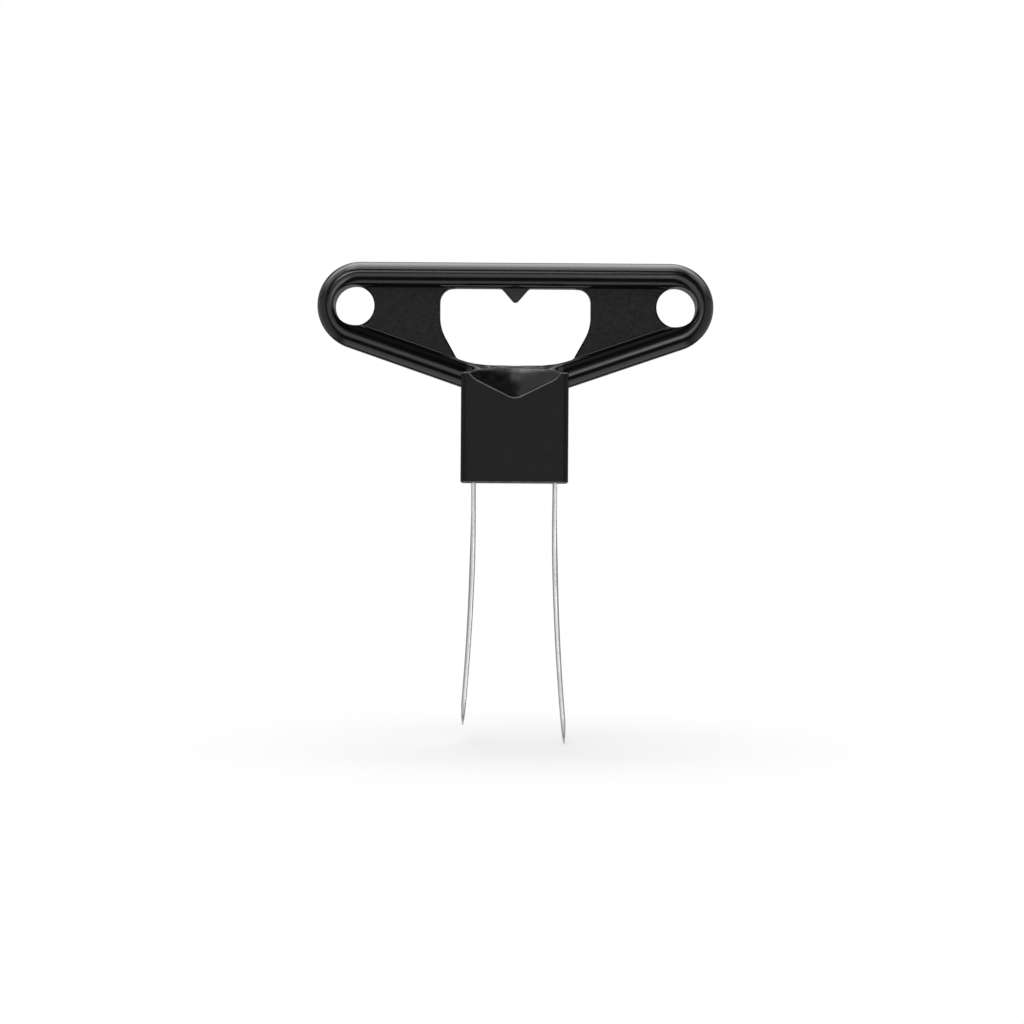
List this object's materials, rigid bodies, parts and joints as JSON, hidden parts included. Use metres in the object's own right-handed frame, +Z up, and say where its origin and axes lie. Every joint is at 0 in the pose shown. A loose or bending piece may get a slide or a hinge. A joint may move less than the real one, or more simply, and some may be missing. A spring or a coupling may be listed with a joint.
{
  "type": "two-prong cork puller",
  "caption": "Two-prong cork puller: a wide cast handle with hanging eyes and a cap-lifter opening, a folded neck sleeve, and a short and a long spring blade that slide down beside a cork.",
  "frame": {"origin": "middle of the neck's lower face, the face that seats on a bottle's mouth", "axes": "+Z up along the tool from the blades to the handle, +X along the handle towards the long blade, -Y to the front, as in the picture"},
  "size_m": [0.1, 0.0134, 0.1213],
  "materials": {
    "handle_enamel": "glossy black enamel on a casting, finer and duller on the webs",
    "sleeve_enamel": "satin black enamel on folded sheet",
    "blade_steel": "bright spring steel, polished along its length",
    "rivet_steel": "plain steel, hidden under the sleeve"
  },
  "bodies": {
    "handle": {"handle_frame": "handle_enamel", "neck_sleeve": "sleeve_enamel", "tang_rivets": "rivet_steel"},
    "short_blade": {"short_blade": "blade_steel"},
    "long_blade": {"long_blade": "blade_steel"}
  },
  "joints": [
    {"name": "short_blade_flex", "type": "hinge", "parent": "handle", "child": "short_blade", "pos_m": [-0.0085, 0, 0.0055], "axis": [0, -1, 0], "range_deg": [-2.5, 3.5], "stiffness_Nm_per_rad": 9},
    {"name": "long_blade_flex", "type": "hinge", "parent": "handle", "child": "long_blade", "pos_m": [0.0085, 0, 0.0055], "axis": [0, 1, 0], "range_deg": [-2.5, 3.5], "stiffness_Nm_per_rad": 9}
  ]
}
